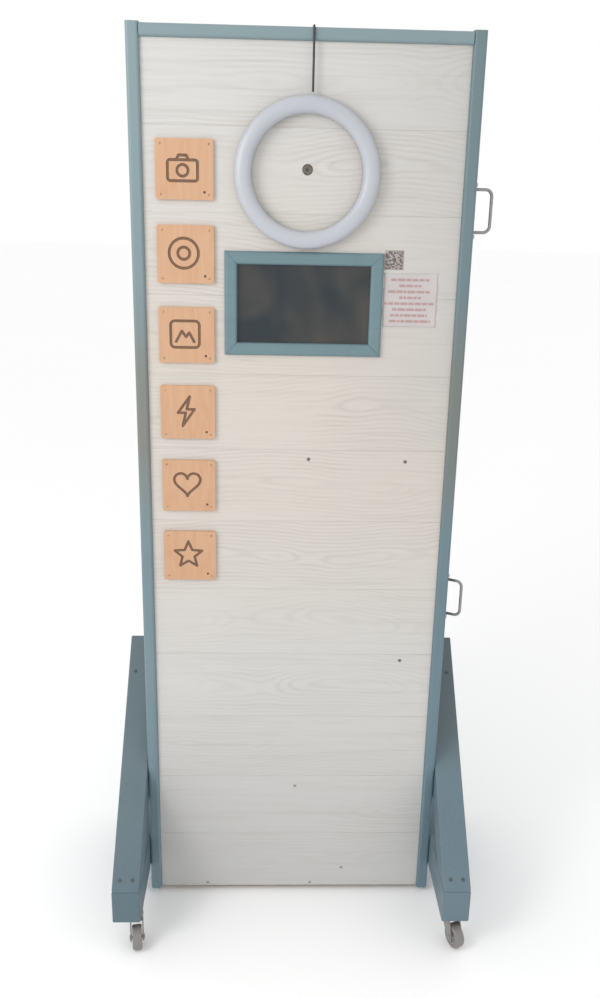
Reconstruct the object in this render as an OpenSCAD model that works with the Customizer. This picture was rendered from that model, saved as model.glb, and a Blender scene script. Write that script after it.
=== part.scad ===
// Castored photo booth: a plank-clad cabinet on two side legs.
// X runs to the right, the clad front faces -Y and Z is up. The origin is on the floor,
// under the middle of the booth. All sizes are in millimetres.

/* [Cabinet] */
// Outer width of the cabinet
cabinet_w = 633; // [620:1:650]
// Depth from the cladding's face to the cabinet's back
cabinet_d = 292; // [285:1:300]
// Height of the stile tops above the floor
cabinet_top = 1812; // [1811:1:1816]
// Height of the cabinet's underside above the floor
cabinet_bottom = 12; // [10:1:16]
// Thickness of the side, top and bottom panels and the shelf
panel_t = 18; // [15:1:18]
// Thickness of the ply behind the cladding
backing_t = 9; // [6:1:9]
// Thickness of the cladding planks
plank_t = 12; // [10:1:14]
// Height that one plank covers
plank_pitch = 149; // [148:1:150]
// Height of the joint line that all other joints are counted from
first_joint = 7; // [4:1:8]
// Open joint between two planks
plank_gap = 1; // [0.6:0.1:1.5]
// Height of the shelf's top face
shelf_top = 1138; // [1100:1:1150]

/* [Trim] */
// Width of the stiles, the rail and the screen frame's members
trim_w = 24; // [20:1:26]
// How far the trim stands out from the cladding
trim_proud = 8; // [6:1:10]
// Rounding of the trim's front edges
trim_r = 6; // [3:1:6]

/* [Ring light] */
// Outer diameter of the ring light
ring_od = 264; // [256:1:266]
// Inner diameter of the ring light
ring_id = 203; // [196:1:206]
// How far the ring light stands out from the cladding
ring_depth = 24; // [20:1:28]
// Sideways place of the ring light's centre
ring_x = 5; // [0:1:10]
// Height of the ring light's centre
ring_z = 1568; // [1566:1:1572]
// Sideways place of the camera port
port_x = 6; // [4:1:8]
// Height of the camera port
port_z = 1575; // [1570:1:1578]
// Diameter of the camera port through the cladding and its backing
port_d = 20; // [16:1:22]
// Diameter of the ring light's lead
cord_d = 4; // [3:0.5:4]

/* [Screen] */
// Sideways place of the screen's centre
screen_x = 3.5; // [2:0.5:5]
// Height of the screen's centre
screen_z = 1333.5; // [1330:0.5:1336]
// Outer width of the screen frame
frame_w = 298; // [296:1:300]
// Outer height of the screen frame
frame_h = 193; // [190:1:196]

/* [Tiles] */
// Side of one square tile
tile_side = 105; // [95:1:110]
// Thickness of a tile
tile_t = 6; // [4:1:8]
// Sideways place of the tiles' centres
tile_x = -217; // [-222:1:-212]
// Height of the top tile's centre
tile_top_z = 1571; // [1568:1:1575]

/* [Legs] */
// Width of the leg timbers
leg_w = 58; // [54:1:60]
// Height of the base rails' underside
rail_bottom = 74; // [74:1:76]
// Height of the base rails' top
rail_top = 148; // [140:1:150]
// Height of the braces' top cut
brace_top = 544; // [500:1:560]
// How far the base rails reach in front of the cladding
rail_front = 188; // [186:1:195]
// How far the base rails reach behind the cladding
rail_back = 287; // [280:1:288]

/* [Casters] */
// Wheel diameter
wheel_d = 50; // [46:1:50]
// Wheel width
wheel_w = 20; // [16:1:20]
// Distance from the swivel axis to the wheel's axle
trail = 22; // [20:1:26]
// Resting turn of the front left caster
turn_left = 9; // [0:1:20]
// Resting turn of the front right caster
turn_right = 22; // [0:1:24]

/* [Hidden] */
$fn = 48;

trim_blue = "#7f9ca7";
leg_blue = "#6c828d";
white_wash = "#dcdad5";
ply = "#d9b98c";
tile_tan = "#e3b896";
steel = "#9a9c9f";
dark = "#2c2f31";

// Y of the cladding's front face, so that the origin is midway between front and back
face_y = -59;
half_w = cabinet_w / 2;
inner_half = half_w - panel_t;
clad_half = half_w - trim_w;
clad_bottom = cabinet_bottom + 2;
rail_top_z = cabinet_top - 2;
rail_w = 22;
clad_top = rail_top_z - rail_w;
back_y = plank_t + backing_t;
bottom_top = cabinet_bottom + panel_t;
top_under = rail_top_z - panel_t;
frame_bar = 24;
cutout_size = [280, 170];
glass_size = [262, 154];
glass_t = 2.5;
housing_size = [276, 166];
housing_back = 32;
pad_t = 2;
ring_base = 10;
ring_wall = 2;
camera_size = [64, 50];
camera_front = 42;
camera_back = 78;
tile_corner = 4;
leg_x = half_w + leg_w / 2;
brace_run = brace_top - rail_top;
brace_foot = leg_w * sqrt(2);
upper_handle_z = 1509;
lower_handle_z = 728;
handle_y = 25;
lower_swing = 28;
wire_r = 3;
bail_x = half_w + 3.9;
bail_half = 38.5;
bail_reach = 31;
bail_bend = 12;
pin_r = 2;
pin_l = 12;
wheel_r = wheel_d / 2;
plate_t = 3;
plate_half = 21;
race_t = 7;
king_r = 4;
axle_r = 3;
fit_gap = 0.05;
front_left_x = -330;
front_right_x = 342;
front_swivel_y = -151;
rear_caster_y = 245;
hinge_x = half_w + 4.5;
hinge_y = cabinet_d + 0.5;
hinge_zs = [240, 900, 1600];
hinge_h = 70;
knuckle_r = 4;
hinge_pin_r = 2;
door_y = cabinet_d + 0.8;
door_t = 12;
lock_x = -262;
lock_z = 1000;
strip_pos = [20, 90, shelf_top];
strip_size = [260, 60, 40];
rocker_at = [40, 120, shelf_top + 37];
inlet_y = 230;
inlet_z = 620;
inlet_body = [36, 28];
inlet_flange = [50, 36];
inlet_socket = [26, 18];
cord_x = 12;
grommet_y = 130;
grommet_r = 8;

// The lead's route: up from the ring light, over the top rail and down into the grommet
cord_route = [
    [12, -10.5, 1705], [12, -10.5, 1730], [12, -10.5, 1755], [12, -10.5, 1780], [12, -10.5, 1795],
    [12, -10.5, 1803], [12, -9.5, 1807.5], [12, -6.5, 1811], [12, -2, 1812.5], [12, 5, 1812.5],
    [12.5, 20, 1812.5], [13, 35, 1812.5], [13.5, 50, 1812.5], [13.5, 65, 1812.5],
    [13, 80, 1812.5], [12.5, 92, 1812.5], [12, 100, 1814], [12, 108, 1818.5],
    [12, 115, 1822.5], [12, 121.5, 1823], [12, 126.5, 1820.5], [12, 129.5, 1815.5],
    [12, 130, 1808], [12, 130, 1800], [12, 130, 1793]
];

// ---------- shared shapes ----------

// Moves a shape from the cladding's face to the booth's own frame
module at_face() {
    translate([0, face_y, 0]) children();
}

// A box between two corners
module block(low, high) {
    translate(low) cube(high - low);
}

// A rod along X, Y or Z from a point
module rod(at, along, length, r) {
    turn = along == "x" ? [0, 90, 0] : along == "y" ? [-90, 0, 0] : [0, 0, 0];
    translate(at) rotate(turn) cylinder(h = length, r = r);
}

// Cross-section of a batten whose two front edges are rounded; y = 0 is its front
module batten_section(w, d) {
    intersection() {
        square([w, d]);
        union() {
            translate([0, trim_r]) square([w, d - trim_r]);
            translate([trim_r, 0]) square([w - 2 * trim_r, trim_r + 0.1]);
            for (x = [trim_r, w - trim_r]) translate([x, trim_r]) circle(trim_r);
        }
    }
}

// A batten that lies along X, from x = 0 to x = length
module lying_batten(length, w, d) {
    translate([length, 0, 0]) rotate([0, -90, 0]) linear_extrude(length) batten_section(w, d);
}

// A low round screw head that points to -Y
module screw_head(x, y, z, r, h) {
    translate([x, y, z]) rotate([90, 0, 0]) cylinder(h = h, r1 = r, r2 = r * 0.7);
}

// A ring about the Y axis through the ring light's centre, from its section in [radius, forward]
module ring_about_port() {
    translate([ring_x, 0, ring_z]) rotate([90, 0, 0]) rotate_extrude($fn = 96) children();
}

// ---------- cabinet ----------

module side_panel(side) {
    at_face() color(trim_blue) difference() {
        translate([side * (half_w - panel_t / 2), 0, 0])
            block([-panel_t / 2, plank_t, cabinet_bottom], [panel_t / 2, cabinet_d, rail_top_z]);
        if (side < 0) inlet_block(inlet_body, -half_w - 1, -inner_half + 1);
    }
}

module top_panel() {
    at_face() color(trim_blue) difference() {
        block([-inner_half, plank_t, top_under], [inner_half, cabinet_d, rail_top_z]);
        rod([cord_x, grommet_y, top_under - 1], "z", panel_t + 2, grommet_r);
    }
}

module bottom_panel() {
    at_face() color(ply)
        block([-inner_half, plank_t, cabinet_bottom], [inner_half, cabinet_d, bottom_top]);
}

// A box of a width and a height about the screen's middle, from a front to a back
module screen_block(size, front, back) {
    block(
        [screen_x - size.x / 2, front, screen_z - size.y / 2],
        [screen_x + size.x / 2, back, screen_z + size.y / 2]
    );
}

module front_backing() {
    at_face() color(ply) difference() {
        block([-inner_half, plank_t, bottom_top], [inner_half, back_y, top_under]);
        rod([port_x, plank_t - 1, port_z], "y", backing_t + 2, port_d / 2);
        screen_block(cutout_size, plank_t - 1, back_y + 1);
    }
}

module cladding_planks() {
    rows = ceil((clad_top - first_joint) / plank_pitch);
    at_face() color(white_wash) difference() {
        for (i = [0:rows - 1]) {
            low = max(clad_bottom, first_joint + i * plank_pitch + plank_gap / 2);
            high = min(clad_top, first_joint + (i + 1) * plank_pitch - plank_gap / 2);
            block([-clad_half, 0, low], [clad_half, plank_t, high]);
        }
        rod([port_x, -1, port_z], "y", plank_t + 2, port_d / 2);
        screen_block(cutout_size, -1, plank_t + 1);
    }
}

// ---------- trim ----------

module stile(side) {
    at_face() color(trim_blue)
        translate([side * (half_w - trim_w / 2) - trim_w / 2, -trim_proud, cabinet_bottom])
        linear_extrude(cabinet_top - cabinet_bottom) batten_section(trim_w, trim_proud + plank_t);
}

module top_rail() {
    at_face() color(trim_blue) translate([-clad_half, -trim_proud, clad_top])
        lying_batten(2 * clad_half, rail_top_z - clad_top, trim_proud + plank_t);
}

// One mitred member of a picture frame, with its outer edge on z = 0
module mitred_member(length) {
    joint = 0.15;
    intersection() {
        lying_batten(length, frame_bar, trim_proud);
        rotate([90, 0, 0]) translate([0, 0, -trim_proud - 1]) linear_extrude(trim_proud + 2) polygon([
            [joint, 0], [length - joint, 0],
            [length - frame_bar - joint, frame_bar], [frame_bar + joint, frame_bar]
        ]);
    }
}

module screen_frame() {
    at_face() color(trim_blue) translate([screen_x, -trim_proud, screen_z]) {
        for (turn = [0, 180]) rotate([0, turn, 0])
            translate([-frame_w / 2, 0, -frame_h / 2]) mitred_member(frame_w);
        for (turn = [90, 270]) rotate([0, turn, 0])
            translate([-frame_h / 2, 0, -frame_w / 2]) mitred_member(frame_h);
    }
}

// ---------- screen ----------

module display_panel() {
    at_face() color("#464f50") screen_block(glass_size, 0.2, glass_t);
}

module display_housing() {
    at_face() color(dark) screen_block(housing_size, glass_t, housing_back);
}

module display_brackets() {
    at_face() color(steel) for (x = [screen_x - 80, screen_x + 80]) translate([x - 10, 0, screen_z]) {
        block([0, housing_back, -90], [20, housing_back + 2.5, 90]);
        for (side = [-1, 1]) {
            block([0, back_y, side * 88.75 - 1.25], [20, housing_back + 1, side * 88.75 + 1.25]);
            block([0, back_y, side * 100 - 12.5], [20, back_y + 2.5, side * 100 + 12.5]);
        }
    }
}

// ---------- ring light ----------

module ring_light_housing() {
    inner = ring_id / 2;
    outer = ring_od / 2;
    at_face() color("#c5c8d2") {
        ring_about_port() difference() {
            translate([inner, pad_t]) square([outer - inner, ring_base - pad_t]);
            translate([inner + ring_wall, pad_t + ring_wall])
                square([outer - inner - 2 * ring_wall, ring_base]);
        }
        difference() {
            rod([cord_x, -10.5, ring_z + outer - 5], "z", 10, 3);
            ring_about_port() translate([inner, ring_base]) square([outer - inner, ring_depth]);
        }
    }
}

module ring_light_diffuser() {
    inner = ring_id / 2;
    outer = ring_od / 2;
    mid = (inner + outer) / 2;
    half = (outer - inner) / 2;
    rise = ring_depth - ring_base;
    wall = 1.6;
    at_face() color("#e4e6ee") ring_about_port() difference() {
        translate([mid, ring_base]) intersection() {
            arch(half, rise);
            translate([-half, 0]) square([2 * half, rise]);
        }
        translate([mid, ring_base]) intersection() {
            arch(half - wall, rise - wall);
            translate([-half, -1]) square([2 * half, rise]);
        }
    }
}

// The circle that stands `rise` high over a chord of twice `half`
module arch(half, rise) {
    r = (half * half + rise * rise) / (2 * rise);
    translate([0, rise - r]) circle(r, $fn = 96);
}

module ring_light_leds() {
    at_face() color("#f1ecd8") ring_about_port() translate([ring_id / 2 + 6, pad_t + ring_wall]) square([17, 1.6]);
}

module ring_light_pads() {
    at_face() color(dark) for (a = [90, 210, 330]) {
        mid = (ring_id + ring_od) / 4;
        rod([ring_x + mid * cos(a), -pad_t, ring_z + mid * sin(a)], "y", pad_t, 9);
    }
}

// ---------- lead ----------

function cross3(a, b) = [
    a.y * b.z - a.z * b.y, a.z * b.x - a.x * b.z, a.x * b.y - a.y * b.x
];
function unit(v) = v / norm(v);
function heading(path, i) = i == 0 ? unit(path[1] - path[0])
    : i == len(path) - 1 ? unit(path[i] - path[i - 1])
    : unit(path[i + 1] - path[i - 1]);

// A round tube along a path that stays near the YZ plane
module tube_along(path, r, sides) {
    rings = [for (i = [0:len(path) - 1])
        let (h = heading(path, i), u = unit(cross3(h, [1, 0, 0])), v = cross3(h, u))
        for (k = [0:sides - 1])
            path[i] + r * (cos(360 * k / sides) * u + sin(360 * k / sides) * v)];
    last = (len(path) - 1) * sides;
    polyhedron(
        points = rings,
        faces = concat(
            [[for (k = [0:sides - 1]) k]],
            [[for (k = [sides - 1:-1:0]) last + k]],
            [for (i = [0:len(path) - 2], k = [0:sides - 1]) let (n = (k + 1) % sides)
                [i * sides + n, i * sides + k, (i + 1) * sides + k, (i + 1) * sides + n]]
        )
    );
}

module ring_light_cord() {
    at_face() color(dark) tube_along(cord_route, cord_d / 2, 8);
}

module cord_clips() {
    at_face() color(dark) for (y = [46, 78]) difference() {
        block([cord_x - 7, y, rail_top_z], [cord_x + 9, y + 7, rail_top_z + 6.5]);
        rod([cord_x + 1, y - 1, rail_top_z + 2.5], "y", 9, cord_d / 2 + 0.9);
        block([cord_x - 1.9, y - 1, rail_top_z - 1], [cord_x + 3.9, y + 8, rail_top_z + 2.5]);
    }
}

module cable_grommet() {
    at_face() color(dark) translate([cord_x, grommet_y, 0]) difference() {
        union() {
            rod([0, 0, top_under], "z", panel_t, grommet_r);
            rod([0, 0, rail_top_z], "z", 2.5, grommet_r + 3);
        }
        rod([0, 0, top_under - 1], "z", panel_t + 5, cord_d / 2 + 0.3);
    }
}

// ---------- camera ----------

module camera_body() {
    at_face() color(dark) block(
        [port_x - camera_size.x / 2, camera_front, port_z - camera_size.y / 2],
        [port_x + camera_size.x / 2, camera_back, port_z + camera_size.y / 2]
    );
}

module camera_lens() {
    at_face() color("#15181c") rod([port_x, back_y + 1, port_z], "y", camera_front - back_y - 1, 14);
}

module camera_bracket() {
    low = port_z - camera_size.y / 2;
    at_face() color(steel) {
        block([port_x - 20, back_y, low - 45], [port_x + 20, back_y + 3, low]);
        block([port_x - 20, back_y, low - 3], [port_x + 20, camera_back + 2, low]);
    }
}

// ---------- tiles, labels and small screws ----------

module tile(i) {
    at_face() color(tile_tan) translate([tile_x, 0, tile_top_z - i * plank_pitch])
        rotate([90, 0, 0]) linear_extrude(tile_t) {
            square([tile_side, tile_side - 2 * tile_corner], center = true);
            square([tile_side - 2 * tile_corner, tile_side], center = true);
            for (sx = [-1, 1], sz = [-1, 1])
                translate([sx, sz] * (tile_side / 2 - tile_corner)) circle(tile_corner);
        }
}

module tile_screws() {
    reach = tile_side / 2 - 9;
    at_face() color("#8b6b4c") for (i = [0:5], sx = [-1, 1], sz = [-1, 1])
        screw_head(tile_x + sx * reach, -tile_t, tile_top_z - i * plank_pitch + sz * reach, 2.2, 0.8);
}

module cladding_screws() {
    places = [[20, 1031], [213, 1028], [225, 589], [7, 279], [117, 62], [-188, 22], [46, 22]];
    at_face() color("#4a4846") for (p = places) screw_head(p.x, 0, p.y, 3.5, 1.2);
}

module notice_card() {
    at_face() color("#e9dede") block([153.5, -0.6, 1294], [257.5, 0, 1396]);
}

module code_sticker() {
    at_face() color("#8a8a8c") block([153.5, -0.4, 1400.5], [189.5, 0, 1436.5]);
}

// ---------- handles ----------

// A wire bail that swings on two upright pins; it rests turned forward by swing
module bail_handle(z, swing) {
    at_face() color("#808284") translate([bail_x, handle_y, z]) rotate([0, 0, -swing]) {
        for (side = [-1, 1]) {
            translate([0, 0, side * bail_half]) sphere(wire_r);
            rod([0, 0, side * bail_half], "x", bail_reach - bail_bend, wire_r);
            translate([bail_reach - bail_bend, 0, side * (bail_half - bail_bend)])
                rotate([side * 90, 0, 0])
                rotate_extrude(angle = 90) translate([bail_bend, 0]) circle(wire_r);
        }
        rod([bail_reach, 0, bail_bend - bail_half], "z", 2 * (bail_half - bail_bend), wire_r);
        rod([0, 0, bail_half], "z", pin_l, pin_r);
        rod([0, 0, -bail_half - pin_l], "z", pin_l, pin_r);
    }
}

// The two eyes that hold a bail's pins on the right side panel
module bail_eyes(z) {
    eye_h = 7;
    at_face() color(steel) for (side = [-1, 1])
        translate([half_w, handle_y, z + side * (bail_half + 8) - eye_h / 2]) difference() {
            union() {
                block([0, -9, 0], [1.4, 9, eye_h]);
                rod([bail_x - half_w, 0, 0], "z", eye_h, 3.7);
            }
            rod([bail_x - half_w, 0, -1], "z", eye_h + 2, pin_r + fit_gap);
        }
}

// ---------- legs ----------

module base_rail(side) {
    at_face() color(leg_blue) translate([side * leg_x, 0, 0]) block(
        [-leg_w / 2, -rail_front, rail_bottom], [leg_w / 2, rail_back, rail_top]
    );
}

module brace(side) {
    at_face() color(leg_blue) translate([side * leg_x - leg_w / 2, 0, 0])
        rotate([90, 0, 90]) linear_extrude(leg_w) polygon([
            [-rail_front, rail_top], [brace_foot - rail_front, rail_top],
            [brace_run - rail_front + brace_foot / 2, brace_top - brace_foot / 2],
            [brace_run - rail_front, brace_top]
        ]);
}

module leg_screws() {
    places = [[359, 483], [359, 166], [333, 166]];
    at_face() color("#55514d") for (side = [-1, 1], p = places)
        translate([side * p.x, p.y - rail_top - rail_front, p.y]) rotate([45, 0, 0])
            cylinder(h = 1.2, r1 = 4, r2 = 3.2);
}

// ---------- casters ----------

// A swivel caster's plate and race; shift moves the plate sideways, so that it stays under its timber
module caster_plate(x, y, shift) {
    translate([x, y, 0]) difference() {
        union() {
            translate([shift, 0, 0])
                block([-plate_half, -plate_half, rail_bottom - plate_t], [plate_half, plate_half, rail_bottom]);
            rod([0, 0, rail_bottom - plate_t - race_t], "z", race_t, 15);
        }
        rod([0, 0, rail_bottom - plate_t - race_t - 1], "z", race_t + plate_t, king_r + fit_gap);
    }
}

module caster_plates() {
    at_face() color(steel) {
        caster_plate(front_left_x, front_swivel_y, -8);
        caster_plate(front_right_x, front_swivel_y, 0);
        for (side = [-1, 1]) translate([side * leg_x, rear_caster_y, 0])
            block([-plate_half, -28, rail_bottom - plate_t], [plate_half, 28, rail_bottom]);
    }
}

// Two cheeks that hold the axle at y = -trail; their top edge runs from y = low to y = high
module cheek_pair(top, low, high) {
    cheek_t = 3;
    for (side = [-1, 1]) translate([side * (wheel_w / 2 + 2.7) - cheek_t / 2, 0, 0])
        rotate([90, 0, 90]) linear_extrude(cheek_t) hull() {
            translate([-trail, wheel_r]) circle(8.5);
            translate([low, top - 4]) square([high - low, 4]);
        }
    rod([-wheel_w / 2 - 5.6, -trail, wheel_r], "x", wheel_w + 11.2, axle_r);
    for (side = [-1, 1])
        rod([side * (wheel_w / 2 + 4.9) - 0.9, -trail, wheel_r], "x", 1.8, 5);
}

module front_fork(x, turn) {
    top = rail_bottom - plate_t - race_t - 0.5;
    at_face() color(steel) translate([x, front_swivel_y, 0]) rotate([0, 0, turn]) {
        cheek_pair(top, -18, 12);
        block([-wheel_w / 2 - 4.2, -18, top - 3], [wheel_w / 2 + 4.2, 12, top]);
        rod([0, 0, top - 3], "z", race_t + 3, king_r);
    }
}

module rear_caster_forks() {
    at_face() color(steel) for (side = [-1, 1])
        translate([side * leg_x, rear_caster_y + trail, 0])
        cheek_pair(rail_bottom - plate_t, -trail - 18, -trail + 18);
}

module wheel(x, y, turn) {
    at_face() color("#8a8886") translate([x, y, wheel_r]) rotate([0, 0, turn])
        rotate([0, 90, 0]) rotate_extrude($fn = 64) difference() {
            union() {
                translate([axle_r + fit_gap, -wheel_w / 2]) square([8, wheel_w]);
                translate([8, -wheel_w / 2 + 3]) square([wheel_r - 10, wheel_w - 6]);
                translate([wheel_r - 8, -wheel_w / 2]) square([6, wheel_w]);
                translate([wheel_r - 4, -wheel_w / 2 + 2]) square([4, wheel_w - 4]);
                for (side = [-1, 1])
                    translate([wheel_r - 2, side * (wheel_w / 2 - 2)]) circle(2, $fn = 24);
            }
        }
}

function front_axle(x, turn) = [x + trail * sin(turn), front_swivel_y - trail * cos(turn)];

// ---------- inside ----------

module shelf() {
    at_face() color(ply)
        block([-inner_half, back_y, shelf_top - panel_t], [inner_half, 262, shelf_top]);
}

module mini_computer() {
    at_face() color(dark) block([-180, 80, shelf_top], [-60, 200, shelf_top + 42]);
}

module power_adapter() {
    at_face() color(dark) block([-270, 90, shelf_top], [-215, 205, shelf_top + 32]);
}

module power_strip() {
    at_face() color("#ecebe6") difference() {
        translate(strip_pos) cube(strip_size);
        translate(rocker_at) {
            block([-7, -11.3, -7], [7, 11.3, 5]);
            rod([-11, 0, 0], "x", 22, 1.5 + fit_gap);
        }
        for (i = [0:3]) rod([95 + i * 48, 120, shelf_top + strip_size.z - 9], "z", 10, 19);
    }
}

module rocker_switch() {
    at_face() color("#b3261e") translate(rocker_at) rotate([-8, 0, 0]) {
        rod([-10, 0, 0], "x", 20, 1.5);
        translate([-6.5, 0, 0]) rotate([90, 0, 90]) linear_extrude(13) polygon([
            [-10, -1], [0, -4], [10, -1], [10, 4.2], [0, 2.6], [-10, 4.2]
        ]);
    }
}

// A box of a depth and a height about the inlet's middle, from one X to another
module inlet_block(size, low_x, high_x) {
    block(
        [low_x, inlet_y - size.x / 2, inlet_z - size.y / 2],
        [high_x, inlet_y + size.x / 2, inlet_z + size.y / 2]
    );
}

module power_inlet() {
    at_face() color(dark) difference() {
        union() {
            inlet_block(inlet_flange, -half_w - 2.5, -half_w);
            inlet_block(inlet_body, -half_w, -inner_half + 12);
        }
        inlet_block(inlet_socket, -half_w - 4, -inner_half - 4);
    }
}

// ---------- rear door ----------

module rear_door() {
    at_face() color(trim_blue) difference() {
        block([-half_w, door_y, clad_bottom], [half_w, door_y + door_t, rail_top_z - 2]);
        rod([lock_x, door_y - 1, lock_z], "y", door_t + 2, 9);
    }
}

module hinge_fixed_leaves() {
    third = hinge_h / 3;
    at_face() color(steel) for (z = hinge_zs) {
        block([half_w, cabinet_d - 28, z], [half_w + 2, cabinet_d - 4.5, z + hinge_h]);
        for (low = [z, z + 2 * third]) {
            block([half_w, cabinet_d - 5, low], [half_w + 2, hinge_y, low + third]);
            rod([hinge_x, hinge_y, low], "z", third, knuckle_r);
        }
        rod([hinge_x, hinge_y, z], "z", hinge_h, hinge_pin_r);
    }
}

module hinge_moving_leaves() {
    third = hinge_h / 3;
    gap = 0.3;
    at_face() color(steel) for (z = hinge_zs) difference() {
        union() {
            block([half_w, door_y + 4.5, z], [half_w + 2, door_y + door_t, z + hinge_h]);
            block([half_w, hinge_y, z + third + gap], [half_w + 2, door_y + 5, z + 2 * third - gap]);
            rod([hinge_x, hinge_y, z + third + gap], "z", third - 2 * gap, knuckle_r);
        }
        rod([hinge_x, hinge_y, z], "z", hinge_h, hinge_pin_r + fit_gap);
    }
}

module lock_body() {
    at_face() color(steel) difference() {
        union() {
            rod([lock_x, door_y - 5, lock_z], "y", 5, 12);
            rod([lock_x, door_y - 0.1, lock_z], "y", door_t + 0.2, 9);
            rod([lock_x, door_y + door_t, lock_z], "y", 2.5, 12);
        }
        rod([lock_x, door_y - 6, lock_z], "y", door_t + 10, 3 + fit_gap);
    }
}

module lock_cam() {
    outside = door_y + door_t + 2.5;
    at_face() color(steel) translate([lock_x, 0, lock_z]) {
        rod([0, door_y - 8.3, 0], "y", outside + 1 - door_y + 8.3, 3);
        rod([0, outside + 0.3, 0], "y", 4, 9);
        block([-2.5, outside + 4, -8], [2.5, outside + 9, 8]);
        block([-7, door_y - 8.3, -30], [7, door_y - 5.3, 7]);
    }
}

module lock_keeper() {
    at_face() color(steel) {
        block([-inner_half, door_y - 4.5, lock_z - 15], [-284, door_y - 2, lock_z + 15]);
        block([-inner_half, door_y - 30, lock_z - 15], [-inner_half + 2, door_y - 2, lock_z + 15]);
    }
}

side_panel(-1);  // side_panel_left
side_panel(1);  // side_panel_right
top_panel();
bottom_panel();
front_backing();
cladding_planks();
stile(-1);  // stile_left
stile(1);  // stile_right
top_rail();
screen_frame();
display_panel();
display_housing();
display_brackets();
ring_light_housing();
ring_light_diffuser();
ring_light_leds();
ring_light_pads();
ring_light_cord();
cord_clips();
cable_grommet();
camera_body();
camera_lens();
camera_bracket();
for (i = [0:5]) tile(i);
tile_screws();
cladding_screws();
notice_card();
code_sticker();
bail_eyes(upper_handle_z);  // handle_eyes_upper
bail_eyes(lower_handle_z);  // handle_eyes_lower
bail_handle(upper_handle_z, 0);  // handle_upper
bail_handle(lower_handle_z, lower_swing);  // handle_lower
base_rail(-1);  // base_rail_left
base_rail(1);  // base_rail_right
brace(-1);  // brace_left
brace(1);  // brace_right
leg_screws();
caster_plates();
rear_caster_forks();
shelf();
mini_computer();
power_adapter();
power_strip();
power_inlet();
lock_keeper();
hinge_fixed_leaves();
rear_door();
hinge_moving_leaves();
lock_body();
lock_cam();
rocker_switch();
front_fork(front_left_x, turn_left);  // front_left_fork
front_fork(front_right_x, turn_right);  // front_right_fork
wheel(front_axle(front_left_x, turn_left).x, front_axle(front_left_x, turn_left).y, turn_left);  // front_left_wheel
wheel(front_axle(front_right_x, turn_right).x, front_axle(front_right_x, turn_right).y, turn_right);  // front_right_wheel
wheel(-leg_x, rear_caster_y, 0);  // rear_left_wheel
wheel(leg_x, rear_caster_y, 0);  // rear_right_wheel
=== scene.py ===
"""Looks of the castored photo booth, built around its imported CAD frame. All sizes are in metres."""
import math
import random

import bmesh
import bpy
from mathutils import Matrix, Vector


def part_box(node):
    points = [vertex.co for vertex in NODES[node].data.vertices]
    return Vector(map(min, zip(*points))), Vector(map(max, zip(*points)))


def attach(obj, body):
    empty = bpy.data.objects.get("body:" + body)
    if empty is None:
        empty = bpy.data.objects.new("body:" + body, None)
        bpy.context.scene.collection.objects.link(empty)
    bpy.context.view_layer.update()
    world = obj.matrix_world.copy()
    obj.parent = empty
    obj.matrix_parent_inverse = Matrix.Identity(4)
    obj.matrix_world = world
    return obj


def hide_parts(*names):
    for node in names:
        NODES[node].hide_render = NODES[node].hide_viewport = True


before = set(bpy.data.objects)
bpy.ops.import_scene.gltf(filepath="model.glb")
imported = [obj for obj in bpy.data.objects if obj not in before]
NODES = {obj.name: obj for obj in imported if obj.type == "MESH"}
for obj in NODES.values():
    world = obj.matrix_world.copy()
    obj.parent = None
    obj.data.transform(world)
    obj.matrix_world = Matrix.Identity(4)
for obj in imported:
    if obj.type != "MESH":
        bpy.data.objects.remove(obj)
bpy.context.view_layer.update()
MM = 0.001


# ---------- places taken from the frame ----------

def low(node):
    return Vector(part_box(node)[0])


def high(node):
    return Vector(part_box(node)[1])


def middle(node):
    return (low(node) + high(node)) / 2


FACE_Y = low("cladding_planks").y
TILES = [f"tile_{i}" for i in range(1, 7)]
PLANK_PITCH = 0.149
FIRST_JOINT = 0.007


# ---------- camera ----------

CAMERA_X, CAMERA_Z = -0.0596, 1.5264
CAMERA_TO_FACE = 1.8299


def make_camera():
    """A camera a little left of the middle, at shoulder height and tipped down by 17.5 degrees."""
    yaw, pitch, roll = 0.0352, 0.306, -0.0215
    sensor_mm, lens_mm = 36.0, 34.40
    data = bpy.data.cameras.new("camera")
    data.sensor_width = sensor_mm
    data.lens = lens_mm
    data.clip_end = 50.0
    cam = bpy.data.objects.new("camera", data)
    bpy.context.scene.collection.objects.link(cam)
    turn = Matrix.Rotation(-yaw, 4, "Z") @ Matrix.Rotation(math.pi / 2 - pitch, 4, "X")
    turn = turn @ Matrix.Rotation(-roll, 4, "Z")
    cam.matrix_world = Matrix.Translation((CAMERA_X, FACE_Y - CAMERA_TO_FACE, CAMERA_Z)) @ turn
    bpy.context.scene.camera = cam


# ---------- node materials ----------

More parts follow.
